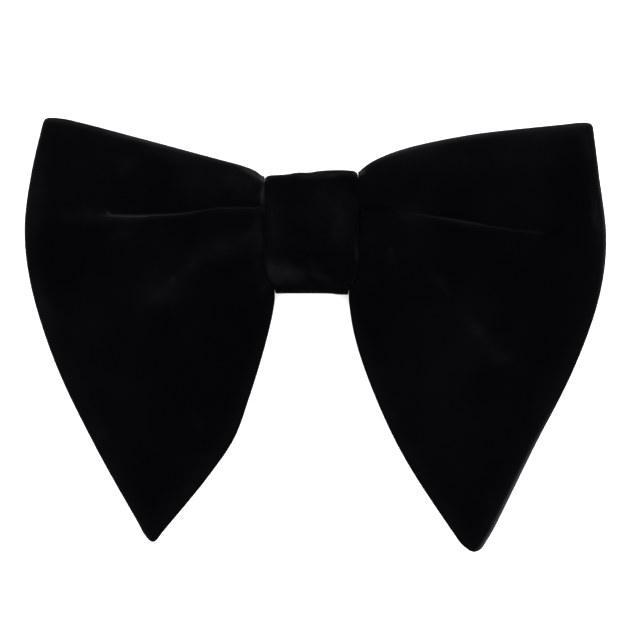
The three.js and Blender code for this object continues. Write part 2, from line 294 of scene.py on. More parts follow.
velvet = velvetMaterial("bow velvet", velvetLook, (0, 0, 0))
knotVelvet = velvetMaterial("knot velvet", knotLook, (0.31, 0.17, 0.05))
steel = steelMaterial("clip steel", steelLook)
thread = threadMaterial("black thread", threadLook)
print("materials made")


# The bow: one doubled cloth, pleated once, for both wings and the waist

bow = {
    "cloth": 2.4,  # two velvet layers and the interlining, in mm
    "waist": {"x": -1.2, "lowZ": 7.8, "topEdgeZ": 12.6, "innerEdgeZ": 12.0},
    "liftedTopEdge": 0.6,
    # Turns in degrees and lengths in mm. openShrink is a share of the arcs' radius, behindLap one of the
    # cloth, and rollFullness the power of the roll's sine.
    "pleat": {"layerPitch": 3.2, "turn": 178, "openTurn": 62, "leastTurn": 1, "openShrink": 0.5,
              "lap": 3.0, "openLap": 0.4, "behindLap": 0.6, "rollFill": 1.1, "rollFullness": 0.85},
    # Shares of a wing, 0 at the waist and 1 at the hem, between which each thing changes
    "comesDown": (0.3, 0.86), "topEdgeFalls": (0.2, 0.92), "innerEdgeFalls": (0.1, 0.7),
    "pleatOpens": (0.0, 0.165), "pleatFades": (0.58, 0.98), "rollFills": (0.17, 0.3),
    "rollEmpties": (0.15, 0.9), "hemWaves": (0.35, 1), "foldsFadeFrom": 0.1, "hazeStarts": (0.12, 0.2),
    # Soft folds rise over these mm beyond the lip and this share of the lower wing, and calm down by a
    # share of their height over the last part of it
    "foldsRise": (0, 6.5), "foldsStart": (0, 0.1), "foldsCalm": (0.7, 1), "calmedBy": 0.75,
    "gripEnds": 11.5, "springsBack": (0, 5), "squeezed": 0.6,  # mm from the waist's middle, and a share
    "wingLength": 78,  # mm, for the round of the hem's edge
    "columns": 110, "rollRows": 30, "turnRows": 11, "lapRows": 3, "lowerRows": 84,
    # The sewn edge, in mm: how far it dips in, and where the seam allowance inside thickens the cloth
    "seam": {"dip": 0.12, "dipStarts": (0, 4), "allowance": 6.0, "rise": 0.12, "riseStarts": (0, 1.2),
             "riseEnds": (0.8, 1.2)},
    # Gathers fan out from a point behind the waist: count, phase and weight of each set of waves
    "gathers": {"depth": 0.30, "reach": 17.0, "gripShare": 0.2, "y": 27, "behind": 6,
                "waves": [(15, 0.4, 0.5), (23, 2.1, 0.35), (34, 4.0, 0.2)]},
    "creasing": [(0.16, 24, 3), (0.035, 7, 8)],  # depth and wavelength in mm, seed
    "puckers": (0.06, 4.5, 5), "puckersEnd": (1.0, 5.0),
    "movesSideways": (1, 7),  # mm in from the outline
    "floorGap": 0.05, "floorCalm": 0.6,  # mm over the table in which nothing moves down, or less and less
    # Beside the band's top corners: the corner's height and width in mm, how much of the overlap goes, and
    # between which heights under the corner that sets in
    "press": {"cornerHeight": 1.25, "cornerWidth": 0.9, "share": 0.96, "starts": 2.9, "full": 1.3},
    # Painted highlights along the crease and the edges spread by these mm from them. A fainter painted
    # haze lies beyond both.
    "paintedHighlights": {"crease": 0.36, "topEdge": 0.95, "hem": 0.65,
             "creaseHaze": 0.22, "creaseHazeSpread": 1.5, "edgeHaze": 0.027, "edgeHazeSpread": 3.6},
    # Pressed pile marks and painted highlights where ridges, facets and edges catch the light: middle x
    # and y, half length, half width, turn in degrees, strength
    "pressed": [
        (-42.7, 11.3, 5.8, 3.6, 15, 0.047), (-39.2, 14.8, 1.4, 0.6, 60, 0.061),
        (-33.5, 19.0, 4.5, 2.0, 45, 0.028), (-25.0, 23.8, 6.0, 3.2, 15, 0.035),
        (-17.5, 27.5, 3.5, 1.8, 35, 0.033), (-33.0, 42.5, 7.5, 4.0, -14, 0.023),
        (-21.0, 41.5, 5.0, 3.0, -25, 0.037), (-51.0, 47.0, 3.2, 2.6, 10, 0.023),
        (-75.0, 7.5, 2.4, 7.5, 14, 0.023), (-54.0, 27.4, 3.4, 1.2, 0, 0.023),
        (-59.0, -26.5, 2.0, 4.0, 28, 0.023), (-33.0, -24.5, 1.6, 2.6, 20, 0.017),
        (-62.5, 32.6, 8.5, 2.2, 0, 0.038), (-56.6, 33.4, 0.9, 0.35, -40, 0.288),
        (26.0, 33.0, 4.2, 2.6, -10, 0.035), (20.3, 22.2, 0.8, 2.2, 25, 0.028),
        (34.0, 14.2, 3.6, 1.0, -50, 0.023), (45.0, 0.5, 5.0, 1.8, -50, 0.033),
        (51.0, -6.0, 3.4, 2.0, -25, 0.03), (77.2, 33.0, 1.0, 6.5, 8, 0.058),
        (62.0, 49.0, 12.0, 4.0, 3, 0.012), (74.5, 52.5, 1.2, 4.0, 8, 0.037),
        (28.0, 51.0, 7.0, 2.4, 15, 0.04), (63.0, 55.8, 12.0, 2.6, 5, 0.033),
        (46.0, 48.5, 22.0, 4.5, 8, 0.014), (-38.0, 49.8, 9.0, 2.6, -16, 0.035),
        # The row at (-15.0, 27.0) is painted light that lifts the shade beside the knot; those at (-14.1,
        # 39.3), (-14.2, 42.4), (-17.2, 43.9) and (12.3, 44.5) are painted highlights along the band's sides
        # and notches
        (-77.0, 38.0, 9.0, 3.0, 83, 0.026), (-15.0, 27.0, 8.0, 2.2, 90, 0.042),
        (-12.8, 15.5, 4.5, 1.8, 70, 0.035), (-14.1, 39.3, 0.5, 3.8, 0, 0.36),
        (-14.2, 42.4, 0.9, 0.7, 0, 0.8), (-17.2, 43.9, 3.0, 0.9, -32, 0.3),
        (12.3, 44.5, 0.9, 0.7, 45, 0.5),
    ],
}
wings = {
    "left": {
        "topEdge": [(-1.2, 39.4), (-12.7, 39.4), (-13.25, 40.8), (-13.75, 42.95), (-14.5, 43.2),
                    (-15.1, 43.65), (-16.6, 44.7), (-19.35, 45.8), (-26.4, 47.75), (-46.5, 53.4),
                    (-66.5, 58.85), (-70.5, 59.55), (-73.4, 59.6), (-74.25, 59.25)],
        "hem": [(-74.25, 59.25), (-74.8, 58.3), (-75.35, 56.3), (-78.2, 43.9), (-80.0, 29.5), (-78.6, 15.0),
                (-72.4, -5.6), (-60.8, -30.3), (-48.6, -52.1), (-47.5, -54.2), (-46.3, -55.9),
                (-45.5, -56.65), (-44.75, -56.95)],
        "innerEdge": [(-1.2, 13.7), (-10.8, 13.7), (-11.07, 12.7), (-11.1, 9.0), (-13.3, -1.4),
                      (-18.3, -17.9), (-22.3, -28.6), (-30.0, -39.8), (-42.1, -54.5), (-43.3, -56.1),
                      (-44.0, -56.75), (-44.75, -56.95)],
        "bandCorner": (-13.9, 42.0),  # where the band's folded edge begins to turn its top corner
        # How far down the section the pleat's crease is: rows of reach and share of the section
        "crease": [(0, 0.22), (0.06, 0.207), (0.1, 0.187), (0.12, 0.173), (0.135, 0.16), (0.145, 0.1535),
                   (0.155, 0.1545), (0.165, 0.164), (0.175, 0.1765), (0.185, 0.187), (0.195, 0.1945),
                   (0.21, 0.2025), (0.22, 0.2055), (0.24, 0.2105), (0.27, 0.212), (0.3, 0.2108),
                   (0.33, 0.2088), (0.36, 0.2092), (0.44, 0.2192), (0.48, 0.223), (0.56, 0.224),
                   (0.64, 0.225), (0.72, 0.2234), (0.8, 0.2225), (1, 0.218)],
        # The painted highlight along the crease: rows of reach and strength
        "creaseHighlight": [(0, 0), (0.14, 0.2), (0.29, 0.2), (0.36, 0.13), (0.45, 0.27), (0.52, 0.35),
                       (0.58, 0.45), (0.62, 0.75), (0.67, 0.55), (0.71, 0.4), (0.735, 0.13),
                       (0.76, 0.03), (0.86, 0), (1, 0)],
        # The same along the top edge, by reach, and down the hem, by the share from its top corner
        "topEdgeHighlight": [(0, 0), (0.16, 0.1), (0.2, 0.78), (0.27, 0.8), (0.33, 0.8), (0.45, 0.58),
                        (0.56, 0.66), (0.7, 0.6), (0.8, 0.2), (0.9, 0.24), (1, 0.28)],
        "hemHighlight": [(0, 0.25), (0.06, 0.24), (0.25, 0.13), (0.4, 0.05), (0.8, 0.05), (1, 0.12)],
        # Soft folds: place at the waist and the hem, from the crease to the inner edge, rise, spread, end
        "folds": [(0.6, 0.6, 0.6, 0.22, 0.34), (0.42, 0.45, 1.2, 0.3, 0.85), (0.3, 0.36, 1.6, 0.12, 0.9),
                  (0.95, 0.8, 1.2, 0.16, 0.8)],
        # Waves of the hem: place from the top corner to the tip, rise, spread
        "hemWaves": [(0.0, 1.6, 0.2), (0.62, 1.3, 0.12), (1.0, 0.9, 0.1)],
    },
    "right": {
        "topEdge": [(-1.2, 39.6), (10.5, 40.9), (11.05, 42.0), (11.5, 44.1), (12.2, 44.6), (13.4, 45.72),
                    (16.1, 47.5), (23.6, 50.5), (42.4, 54.7), (68.8, 57.9), (72.5, 58.3), (74.9, 58.25),
                    (75.75, 57.85)],
        "hem": [(75.75, 57.85), (76.25, 57.0), (76.5, 55.4), (78.0, 43.9), (80.0, 26.0), (78.2, 10.9),
                (70.9, -9.7), (60.5, -30.3), (48.55, -54.3), (46.5, -57.6), (45.75, -58.75),
                (45.0, -59.35), (43.6, -59.75)],
        "innerEdge": [(-1.2, 13.7), (8.75, 13.7), (9.05, 12.7), (9.13, 9.0), (10.9, -1.4), (16.7, -17.9),
                      (24.7, -34.4), (38.45, -55.4), (39.9, -57.4), (41.4, -58.7),
                      (42.3, -59.35), (43.6, -59.75)],
        "bandCorner": (11.7, 43.15),
        "crease": [(0, 0.22), (0.1, 0.21), (0.148, 0.196), (0.158, 0.197), (0.168, 0.202), (0.178, 0.21),
                   (0.188, 0.2185), (0.199, 0.226), (0.21, 0.2315), (0.24, 0.241), (0.27, 0.248),
                   (0.36, 0.261), (0.65, 0.267), (1, 0.25)],
        "creaseHighlight": [(0, 0), (0.27, 0), (0.36, 0.1), (0.42, 0.17), (0.58, 0.28), (0.62, 0.15),
                       (0.7, 0.08), (0.77, 0.06), (0.82, 0), (1, 0)],
        "topEdgeHighlight": [(0, 0), (0.16, 0.1), (0.2, 0.35), (0.24, 0.45), (0.33, 0.92), (0.45, 0.5),
                        (0.58, 0.6), (0.7, 0.33), (0.82, 0.25), (0.94, 0.37), (1, 0.3)],
        "hemHighlight": [(0, 0.27), (0.06, 0.27), (0.2, 0.8), (0.32, 0.42), (0.42, 0.05), (0.62, 0.05),
                    (0.7, 0.8), (0.8, 1.7), (0.95, 1.8), (1, 0.8)],
        "folds": [(0.6, 0.6, 0.6, 0.22, 0.34), (0.42, 0.5, 1.0, 0.3, 0.85), (0.3, 0.56, 1.6, 0.12, 0.95),
                  (0.95, 0.85, 1.2, 0.16, 0.7)],
        "hemWaves": [(0.05, 1.2, 0.2), (0.5, 1.5, 0.12), (1.0, 0.6, 0.1)],
    },
}
quarter = np.radians(np.linspace(0, 90, 6))
rimSteps = bow["cloth"] / 2 * (1 - np.cos(quarter))  # distances from an edge at which its round turns


def flatWing(wing):
    # A straight line across the wing from the top edge to the inner edge, at the same share of both, bowed
    # outwards by reach times the hem's own bow
    top, hem, inner = (edgeCurve(wing[edge]) for edge in ("topEdge", "hem", "innerEdge"))

    def at(reach, down):
        reach, down = np.broadcast_arrays(reach, down)
        hemBow = hem(down) - mix(hem(0.0), hem(1.0), down[..., None])
        return mix(top(reach), inner(reach), down[..., None]) + reach[..., None] * hemBow

    return at


def fromEdge(width, rows):
    # Shares of a stretch of that width: the edge's round first, then even steps short of its far end
    rim = rimSteps / width
    even = np.linspace(0, 1, rows, endpoint=False)[1:]
    return np.hstack([rim, mix(rim[:, -1:], 1, even)])


def pleatAt(reach, crease):
    # How far the pleat's two arcs turn and their radius, how far down the first one starts, the length of
    # the lap between them, and how far they let the cloth fall: 2 radius (1 - cos turn) + lap sin turn
    pleat = bow["pleat"]
    opening = change(bow["pleatOpens"], reach)
    degrees = mix(pleat["turn"], pleat["openTurn"], opening) * (1 - change(bow["pleatFades"], reach))
    turn = np.radians(np.maximum(degrees, pleat["leastTurn"]))
    radius = np.pi * pleat["layerPitch"] / 2 * (1 - pleat["openShrink"] * opening) / turn
    rollDown = crease - radius * np.sin(np.minimum(turn, np.pi / 2))
    room = rollDown - radius - bow["cloth"] * pleat["behindLap"]
    lap = mix(np.clip(room, 0, pleat["lap"]), pleat["openLap"], opening)
    fall = 2 * radius * (1 - np.cos(turn)) + lap * np.sin(turn)
    return turn, radius, rollDown, lap, fall


def softFolds(wing, reach, share, beyondLip):
    # Bells across the lower wing whose places go evenly from waist to hem. They rise behind the lip and
    # calm down towards the inner edge, and each ends before the hem.
    folds = sum(rise * (1 - change((bow["foldsFadeFrom"], end), reach))
                * bell(share - mix(atWaist, atHem, reach), width)
                for atWaist, atHem, rise, width, end in wing["folds"])
    folds = folds * change(bow["foldsRise"], beyondLip) * change(bow["foldsStart"], share)
    return folds * (1 - bow["calmedBy"] * change(bow["foldsCalm"], share))


def sectionLine(wing, reach, length, crease):
    # Each section's distances down the flat wing, and its heights. It is, in order: the roll, which rises
    # as a sine from the top edge; the lip, an arc that turns the cloth back under itself; the lap, a
    # straight run; the tuck, an arc that turns it forward; and the lower wing, an S-curve down to the inner
    # edge with soft folds. Then come the lengths along the line, to each point and to the lip's foremost.
    cloth, waist, pleat = bow["cloth"], bow["waist"], bow["pleat"]
    turn, radius, rollDown, lap, fall = pleatAt(reach, crease)
    lipZ = mix(waist["lowZ"] + fall[:1], cloth / 2 + fall, change(bow["comesDown"], reach))
    tuckZ = lipZ - fall
    topZ = mix(waist["topEdgeZ"], cloth / 2 + bow["liftedTopEdge"], change(bow["topEdgeFalls"], reach))
    innerZ = mix(waist["innerEdgeZ"], cloth / 2, change(bow["innerEdgeFalls"], reach))
    rollFill = pleat["rollFill"] * change(bow["rollFills"], reach) * (1 - change(bow["rollEmpties"], reach))
    lapDown, lapZ = rollDown + radius * np.sin(turn), lipZ - radius * (1 - np.cos(turn))
    tuckDown = lapDown + lap * np.cos(turn)
    lowerDown = tuckDown + radius * np.sin(turn)

    share = fromEdge(rollDown, bow["rollRows"])
    rise = np.sin(np.pi / 2 * share) ** pleat["rollFullness"]
    roll = rollDown * share, mix(topZ, lipZ, rise) + rollFill * np.sin(np.pi * share) ** 2
    share = np.linspace(0, 1, bow["turnRows"], endpoint=False)[None]
    lip = rollDown + radius * np.sin(turn * share), lipZ - radius * (1 - np.cos(turn * share))
    back = turn * (1 - share)
    tuck = lowerDown - radius * np.sin(back), tuckZ + radius * (1 - np.cos(back))
    share = np.linspace(0, 1, bow["lapRows"], endpoint=False)[None]
    lapRun = mix(lapDown, tuckDown, share), lapZ - lap * np.sin(turn) * share
    share = 1 - fromEdge(length - lowerDown, bow["lowerRows"])[:, ::-1]
    share = np.hstack([np.zeros_like(reach), share])
    distance = mix(lowerDown, length, share)
    folds = softFolds(wing, reach, share, distance - crease - cloth / 2)
    lower = distance, mix(tuckZ, innerZ, change((0, 1), share)) + folds

    down, height = (np.hstack(parts) for parts in zip(roll, lip, lapRun, tuck, lower))
    stepUp = np.diff(height, axis=1, prepend=height[:, :1])
    arc = np.cumsum(np.hypot(np.diff(down, prepend=0), stepUp), axis=1)
    foremost = arc[:, roll[0].shape[1], None] + radius * np.minimum(turn, np.pi / 2)
    return down, height, arc, foremost


def wingMiddle(wing, reach):
    # The cloth's middle surface, a row of points down each section, and its painted highlights along the
    # crease and along the edges, both bells of the distance from them. A section's length is measured in 16
    # steps.
    spread = bow["paintedHighlights"]
    flat = flatWing(wing)
    steps = np.diff(flat(reach, np.linspace(0, 1, 17)[None]), axis=1)
    length = np.linalg.norm(steps, axis=-1).sum(1, keepdims=True)
    crease = smoothTable(wing["crease"], reach) * length
    down, height, arc, foremost = sectionLine(wing, reach, length, crease)

    beyond = np.where(down > crease, bell(down - crease, spread["creaseHazeSpread"]), 0)
    creaseHighlight = bell(arc - foremost, spread["crease"]) + spread["creaseHaze"] * beyond
    creaseHighlight *= straightTable(wing["creaseHighlight"], reach)
    down = np.clip(down / length, 0, 1)
    waves = sum(rise * bell(down - place, width) for place, rise, width in wing["hemWaves"])
    height = height + change(bow["hemWaves"], reach) * waves
    points = np.dstack([flat(reach, down), height])

    fromHem = np.linalg.norm(points - points[-1:], axis=-1)
    edgeHighlight = bell(arc, spread["topEdge"]) * straightTable(wing["topEdgeHighlight"], reach)
    edgeHighlight = edgeHighlight + bell(fromHem, spread["hem"]) * straightTable(wing["hemHighlight"], down)
    inwards = np.minimum(np.minimum(arc, arc[:, -1:] - arc), fromHem)
    haze = spread["edgeHaze"] * bell(inwards, spread["edgeHazeSpread"])
    edgeHighlight += haze * change(bow["hazeStarts"], reach)
    return points, np.dstack([creaseHighlight, edgeHighlight])


def clothMoves(x, y, side, fromKnot, free, inwards):
    # How far the cloth moves along its normal: gathers, cosines of the angle round a point behind the
    # waist that die away as a bell, then creasing, and puckers beside the outline. free is 0 in the band's
    # grip and 1 outside it.
    gathers = bow["gathers"]
    angle = np.arctan2(y - gathers["y"], np.maximum(fromKnot, 0) + gathers["behind"])
    waves = sum(np.cos(count * angle * side + phase) * weight for count, phase, weight in gathers["waves"])
    waves = waves * bell(fromKnot, gathers["reach"]) * mix(gathers["gripShare"], 1, free)
    move = gathers["depth"] * waves
    for depth, wavelength, seed in bow["creasing"]:
        move += depth * crumple(x, y, wavelength, seed) * free
    depth, wavelength, seed = bow["puckers"]
    move += depth * crumple(x, y, wavelength, seed) * free * (1 - change(bow["puckersEnd"], inwards))
    return move


def pressToBand(face, side):
    # Beside the knot band's top corners the cloth is pressed back to the band's folded edge: straight up to
    # the corner, then round it on a squared quarter circle, where across^3 + up^3 = 1
    press = bow["press"]
    for wing, out in ((wings["left"], -1), (wings["right"], 1)):
        edgeX, edgeY = wing["bandCorner"]
        around = np.clip((face[..., 1] - edgeY) / press["cornerHeight"], 0, 1)
        edgeX = edgeX - out * press["cornerWidth"] * (1 - np.cbrt(1 - around**3))
        short = np.where(side == out, np.maximum(out * (edgeX - face[..., 0]), 0), 0)
        below = edgeY - press["starts"], edgeY - press["full"]
        face[..., 0] += out * press["share"] * short * change(below, face[..., 1])


def joinFaces(front, back):
    # One closed mesh, in which front and back share the outline's vertices
    rows, columns = front.shape[:2]
    frontIndex = np.arange(rows * columns).reshape(rows, columns)
    backIndex = frontIndex.copy()
    inside = np.arange((rows - 2) * (columns - 2)).reshape(rows - 2, columns - 2)
    backIndex[1:-1, 1:-1] = rows * columns + inside
    points = np.vstack([front.reshape(-1, 3), back[1:-1, 1:-1].reshape(-1, 3)])
    return points, np.vstack([gridQuads(frontIndex), gridQuads(backIndex, flipped=True)])


def bowCloth():
    # The middle surface is moved along its normals, then given a front and a back at the half thickness.
    # That grows from the outline along a quarter circle, is less in the band's grip and more over the seam
    # allowance. The outline itself dips in where the two layers are sewn together.
    hemSteps = (rimSteps / bow["wingLength"])[::-1]
    even = np.linspace(0, 1 - hemSteps[0], bow["columns"])[:-1]
    reach = np.r_[even, 1 - hemSteps][:, None]
    (left, leftHighlights), (right, rightHighlights) = (wingMiddle(wings[name], reach) for name in ("left", "right"))
    middle = np.concatenate([left[:0:-1], right])
    paintedHighlights = np.concatenate([leftHighlights[:0:-1], rightHighlights])
    normals = gridNormals(middle)

    outline = [middle[:1], middle[-1:], middle[:, :1], middle[:, -1:]]
    inwards = np.min([np.linalg.norm(middle - edge, axis=-1) for edge in outline], axis=0)
    x, y = middle[..., 0], middle[..., 1]
    fromMiddle = x - bow["waist"]["x"]
    side, fromKnot = np.sign(fromMiddle), np.abs(fromMiddle) - bow["gripEnds"]
    free = change(bow["springsBack"], fromKnot)
    half = bow["cloth"] / 2 * mix(bow["squeezed"], 1, free)
    thickness = half * np.sqrt(1 - (1 - np.minimum(inwards / half, 1)) ** 2)
    seam = bow["seam"]
    ends = 1 - change(seam["riseEnds"], inwards / seam["allowance"])
    thickness = thickness + seam["rise"] * free * change(seam["riseStarts"], inwards) * ends

    move = clothMoves(x, y, side, fromKnot, free, inwards)
    calm = bow["floorCalm"]
    low = np.minimum(middle[..., 2] - half - bow["floorGap"], calm) / calm
    move = np.where(move < 0, move * np.clip(low, 0, 1), move)
    # near the outline it only moves up and down, which leaves the outline itself as drawn
    sideways = np.repeat(change(bow["movesSideways"], inwards)[..., None], 2, -1)
    heading = normals * np.concatenate([sideways, np.ones_like(normals[..., :1])], -1)
    middle = middle + heading * move[..., None]

    front = middle + normals * thickness[..., None]
    back = middle - normals * thickness[..., None]
    back[..., 2] = np.maximum(back[..., 2], 0)
    pressToBand(front, side)
    pressToBand(back, side)
    for edge, within in ((np.s_[0], np.s_[3]), (np.s_[-1], np.s_[-4]),
                         (np.s_[:, 0], np.s_[:, 3]), (np.s_[:, -1], np.s_[:, -4])):
        line = middle[edge]
        fromEnds = np.minimum(*(np.linalg.norm(line - end, axis=-1) for end in (line[0], line[-1])))
        dip = seam["dip"] * change(seam["dipStarts"], fromEnds)
        front[edge] += unit(middle[within] - line) * dip[:, None]

    points, quads = joinFaces(front, back)
    # The front carries the painted highlights of crease and edges, and the patches of pressed pile and
    # painted highlight; the back only the edges' painted highlights
    frontPressedAndSheen = paintedHighlights.sum(-1).ravel() + pressedPatches(front.reshape(-1, 3), bow["pressed"], seed=31)
    pressed = np.concatenate([frontPressedAndSheen, paintedHighlights[1:-1, 1:-1, 1].ravel()])
    return points, quads, pressed


points, quads, pressed = bowCloth()
bowPiece = addPiece("bow_cloth", points, quads, velvet, "bow")
setPressedAndSheen(bowPiece, pressed)


# The knot band, wrapped round the waist and sewn to itself behind

band = {
    # The loop's middle, its half depth and half the way round it, in mm. Its foot is narrower and has a
    # middle of its own, and it narrows between two heights.
    "x": -1.1, "y": 28.05, "z": 9.8, "halfDepth": 7.5, "halfLoop": 26,
    "halfWidthTop": 12.75, "halfWidthFoot": 10.05, "footX": -1.0, "narrowsFrom": 18.6, "narrowsTo": 11.6,
    "topLine": [(-13.9, 42.95), (-13.3, 43.25), (-12.2, 43.55), (-9.2, 43.7), (-6.8, 44.0), (-5.2, 44.3),
                (-1.5, 44.35), (1.4, 44.8), (7.5, 45.0), (9.6, 44.85), (10.7, 44.65), (11.7, 44.0)],
    "footLine": [(-11.1, 11.3), (-2, 11.3), (3, 11.27), (4.7, 11.18), (6.3, 11.0), (9.1, 10.95)],
    "wall": 1.8, "squareness": 5, "edgeSquareness": 3,
    # How far out the loop's front, its crown and its back begin, 1 being the outermost
    "frontStarts": (0.5, 1), "crownStarts": (0, 0.9), "backStarts": (0.6, 1),
    "crownFront": 1.1, "crownElsewhere": 0.4,
    "footCrease": {"x": -2.0, "y": 14.9, "rise": 3.4, "halfSpan": 9.0, "depth": 0.55, "spread": 1.1},
    "dent": {"x": -8.5, "y": 18.5, "depth": 0.55, "spread": 4.2},
    # Folds along the loop, creasing and puckers: depth, wavelength, squeeze across and along, seed
    "creasing": [(0.20, 17, 3.2, 0.8, 21), (0.14, 8, 1, 1, 22), (0.05, 3, 1, 1, 23)],
    # The lapped end behind: its edge, how far it stands out, and where past the edge it rises and fades
    "lapEdgeY": 26.0, "lapRise": 0.35, "lapSlope": (0, 0.7), "lapFades": (6, 12),
    "turns": 260, "outsideColumns": 33, "edgeColumns": 9, "insideColumns": 13,
    "pressedFrom": (12, 15),  # the heights between which the front's pressed pile and painted highlights set in
    # Painted highlights, partly pressed pile, on the lit facet at the lower left, the lighter sides, the top
    # rim and the notches: middle x and y, half length, half width, turn in degrees, strength
    "pressed": [
        (-8.0, 17.0, 5.0, 2.2, -20, 0.076), (-12.2, 18.0, 1.4, 2.6, 15, 0.06),
        (1.6, 16.2, 3.6, 1.0, -38, 0.05), (-11.5, 31.0, 2.4, 9.0, 4, 0.027),
        (6.5, 31.0, 3.0, 6.0, -6, 0.03), (11.4, 22.3, 0.4, 2.4, 0, 0.08),
        (-1.0, 34.0, 9.0, 7.0, 0, 0.012), (3.5, 43.9, 8.5, 0.8, 3, 0.12), (-8.0, 43.2, 4.0, 0.7, 3, 0.08),
        (-13.3, 42.6, 0.8, 0.6, 0, 0.3), (11.2, 44.3, 0.8, 0.45, 0, 0.4), (-11.0, 15.4, 2.2, 1.3, -40, 0.05),
    ],
}


def squared(value, power):
    # The size of a sine or cosine to the power 2 / power, which squares a circle's corners, with its sign
    return np.sign(value) * np.abs(value) ** (2 / power)


def bandSurface(angle, x, inset, puff):
    # The loop is a squared oval, where sine and cosine are raised to 2 / squareness, in the plane across
    # the waist, from the foot line up to the top line. Between the folded edges it swells by the crown times
    # puff, less the arched crease at its foot, the dent above it, and the folds that run along the loop.
    # At the foot the folded edges turn a tighter corner: there the inset grows as its own square.
    up, out = squared(np.sin(angle), band["squareness"]), squared(np.cos(angle), band["squareness"])
    above, below = smoothTable(band["topLine"], x) - band["y"], band["y"] - smoothTable(band["footLine"], x)
    fold = band["wall"] / 2
    squareInset = np.where((up < 0) & (inset < fold), inset**2 / fold, inset)
    y = band["y"] + (np.where(up > 0, above, below) - squareInset) * up
    foot, dent = band["footCrease"], band["dent"]
    creaseY = foot["y"] - foot["rise"] * ((x - foot["x"]) / foot["halfSpan"]) ** 2
    front = change(band["frontStarts"], out)
    hollow = foot["depth"] * front * bell(y - creaseY, foot["spread"])
    hollow += dent["depth"] * front * bell(np.hypot(x - dent["x"], y - dent["y"]), dent["spread"])
    along = band["halfLoop"] * angle / np.pi
    for depth, wavelength, across, lengthways, seed in band["creasing"]:
        hollow += depth * crumple(x * across, along * lengthways, wavelength, seed)
    crown = mix(band["crownElsewhere"], band["crownFront"], change(band["crownStarts"], out))
    pastLap = y - band["lapEdgeY"]
    lap = band["lapRise"] * change(band["backStarts"], -out) * change(band["lapSlope"], pastLap)
    lap = lap * (1 - change(band["lapFades"], pastLap))
    depth = band["halfDepth"] - inset + (crown - hollow) * puff + lap * np.sqrt(np.maximum(puff, 0))
    return np.stack(np.broadcast_arrays(x, y, band["z"] + depth * out), -1)


def bandMiddle(angle):
    # The middle of the band's width and half that width, at that angle of the loop
    y = bandSurface(angle, band["x"], 0, 0)[..., 1]
    widens = change((band["narrowsTo"], band["narrowsFrom"]), y)
    return mix(band["footX"], band["x"], widens), mix(band["halfWidthFoot"], band["halfWidthTop"], widens)


def knotBand():
    # A wall section carried round the loop: out across the outside, round the folded edge on a squared half
    # circle of the wall's own thickness, back across the inside, and round the other edge
    angle = np.linspace(0, 2 * np.pi, band["turns"], endpoint=False)[:, None]
    fold = band["wall"] / 2
    middle, halfWidth = bandMiddle(angle)
    flatHalf = halfWidth - fold
    across = np.sin(np.linspace(-np.pi / 2, np.pi / 2, band["outsideColumns"]))[None]
    edge = np.radians(np.linspace(90, -90, band["edgeColumns"]))[None, 1:-1]
    inner = np.linspace(1, -1, band["insideColumns"])[None]
    out, depth = (squared(part, band["edgeSquareness"]) for part in (np.cos(edge), np.sin(edge)))
    stretches = ((flatHalf * across, 0, 1 - across**2), (flatHalf + fold * out, fold * (1 - depth), 0),
                 (flatHalf * inner, band["wall"], 0), (-flatHalf - fold * out, fold * (1 + depth), 0))
    x, inset, puff = (np.hstack(part) for part in zip(*(np.broadcast_arrays(*one) for one in stretches)))
    points = bandSurface(angle, middle + x, inset, puff)
    index = np.arange(points.shape[0] * points.shape[1]).reshape(points.shape[:2])
    index = np.vstack([index, index[:1]])
    index = np.hstack([index, index[:, :1]])
    return points.reshape(-1, 3), gridQuads(index)


points, quads = knotBand()
bandPiece = addPiece("knot_wrap", points, quads, knotVelvet, "knot_band")
# Only the front carries the patches of pressed pile and painted highlight
onFront = change(band["pressedFrom"], points[:, 2])
setPressedAndSheen(bandPiece, onFront * pressedPatches(points, band["pressed"], seed=41))


def tubeAlong(path, radius, sides):
    # A ring of that radius round each point of the path, square to the path, closed at both ends.
    # path is (tubes, steps, 3) and radius (steps,). A ring starts square to the path and to a line a hair off
    # straight up, which no path follows exactly.
    ahead = unit(np.gradient(path, axis=1))
    across = unit(np.cross(ahead, np.array([0.0, 0.0, 1.0]) + 1e-6))
    over = np.cross(across, ahead)
    turn = np.linspace(0, 2 * np.pi, sides, endpoint=False)[:, None]
    ring = across[:, :, None] * np.cos(turn) + over[:, :, None] * np.sin(turn)
    rings = path[:, :, None] + radius[None, :, None, None] * ring
    index = np.arange(rings.shape[0] * rings.shape[1] * sides).reshape(rings.shape[:3])
    around = np.concatenate([index, index[:, :, :1]], axis=2)
    quads = [gridQuads(one, flipped=True) for one in around]
    quads += [endQuads(one[0]) for one in index] + [endQuads(one[-1][::-1]) for one in index]
    return rings.reshape(-1, 3), np.vstack(quads)


stitch = {
    "count": 8, "length": 1.7, "radius": 0.17, "spacing": 2.6, "lean": 0.5, "steps": 13, "sides": 8,
    # From the lap's edge to a stitch's middle, the arch's height, what the stitches add to the band's
    # swell in the middle, and how deep they all sit, in mm
    "pastEdge": 0.35, "arch": 0.22, "proud": 0.15, "sunk": 0.1,
}


